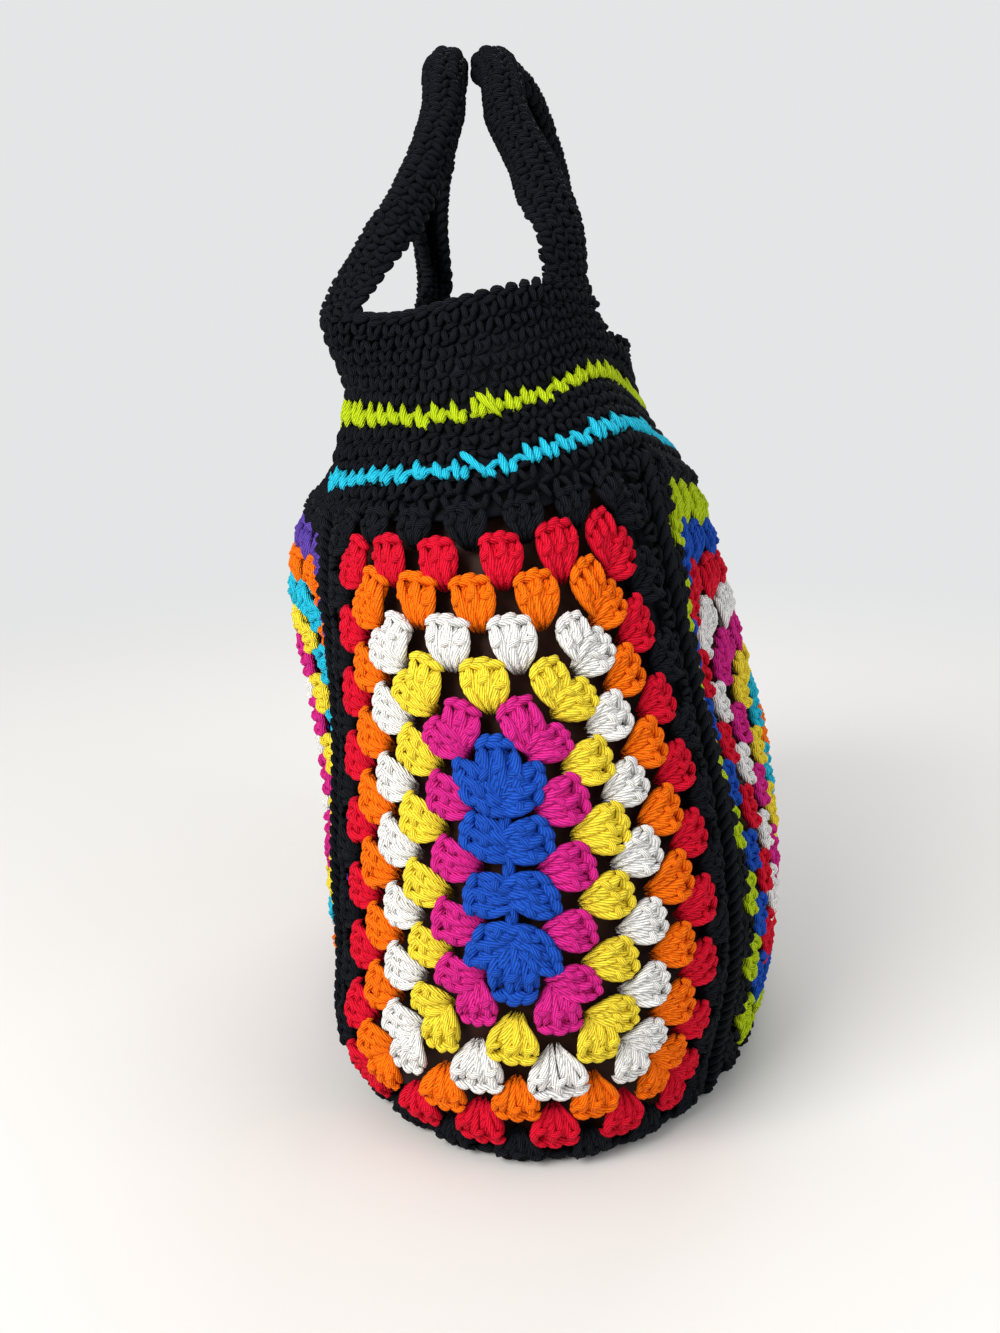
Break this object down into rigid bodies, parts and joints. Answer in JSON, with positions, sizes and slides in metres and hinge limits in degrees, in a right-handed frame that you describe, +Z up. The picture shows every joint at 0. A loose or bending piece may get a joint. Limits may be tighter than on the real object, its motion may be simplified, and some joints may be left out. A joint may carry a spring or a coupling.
{
  "type": "crochet tote bag",
  "caption": "Soft crochet tote bag with granny panels in coloured rounds, raised black seams, a striped band, rolled crochet handles and a satin lining.",
  "frame": {"origin": "middle of the base panel's underside, on the table", "axes": "+Z up, -Y towards the front end panel, +X towards the right main panel"},
  "size_m": [0.1859, 0.3242, 0.3548],
  "materials": {
    "black_yarn": "matt cotton yarn, crocheted",
    "red_yarn": "matt cotton yarn, crocheted",
    "orange_yarn": "matt cotton yarn, crocheted",
    "white_yarn": "matt cotton yarn, crocheted",
    "yellow_yarn": "matt cotton yarn, crocheted",
    "pink_yarn": "matt cotton yarn, crocheted",
    "blue_yarn": "matt cotton yarn, crocheted",
    "lime_yarn": "matt cotton yarn, crocheted",
    "turquoise_yarn": "matt cotton yarn, crocheted",
    "purple_yarn": "matt cotton yarn, crocheted",
    "lining_satin": "soft satin sheen, woven lining cloth"
  },
  "bodies": {
    "root": {"end_front_blue_round": "blue_yarn", "end_front_pink_round": "pink_yarn", "end_front_yellow_round": "yellow_yarn", "end_front_white_round": "white_yarn", "end_front_orange_round": "orange_yarn", "end_front_red_round": "red_yarn", "end_front_border": "black_yarn", "end_back_blue_round": "blue_yarn", "end_back_pink_round": "pink_yarn", "end_back_yellow_round": "yellow_yarn", "end_back_white_round": "white_yarn", "end_back_orange_round": "orange_yarn", "end_back_red_round": "red_yarn", "end_back_border": "black_yarn", "main_right_orange_round": "orange_yarn", "main_right_turquoise_round": "turquoise_yarn", "main_right_yellow_round": "yellow_yarn", "main_right_pink_round": "pink_yarn", "main_right_white_round": "white_yarn", "main_right_red_round": "red_yarn", "main_right_blue_round": "blue_yarn", "main_right_lime_round": "lime_yarn", "main_right_border": "black_yarn", "main_left_blue_round": "blue_yarn", "main_left_red_round": "red_yarn", "main_left_white_round": "white_yarn", "main_left_pink_round": "pink_yarn", "main_left_yellow_round": "yellow_yarn", "main_left_turquoise_round": "turquoise_yarn", "main_left_orange_round": "orange_yarn", "main_left_purple_round": "purple_yarn", "main_left_border": "black_yarn", "seam_front_right": "black_yarn", "seam_front_left": "black_yarn", "seam_back_right": "black_yarn", "seam_back_left": "black_yarn", "base_panel": "black_yarn", "base_seam": "black_yarn", "band_lower": "black_yarn", "band_turquoise": "turquoise_yarn", "band_middle": "black_yarn", "band_lime": "lime_yarn", "band_upper": "black_yarn", "handle_left": "black_yarn", "handle_right": "black_yarn", "lining": "lining_satin"}
  },
  "joints": []
}
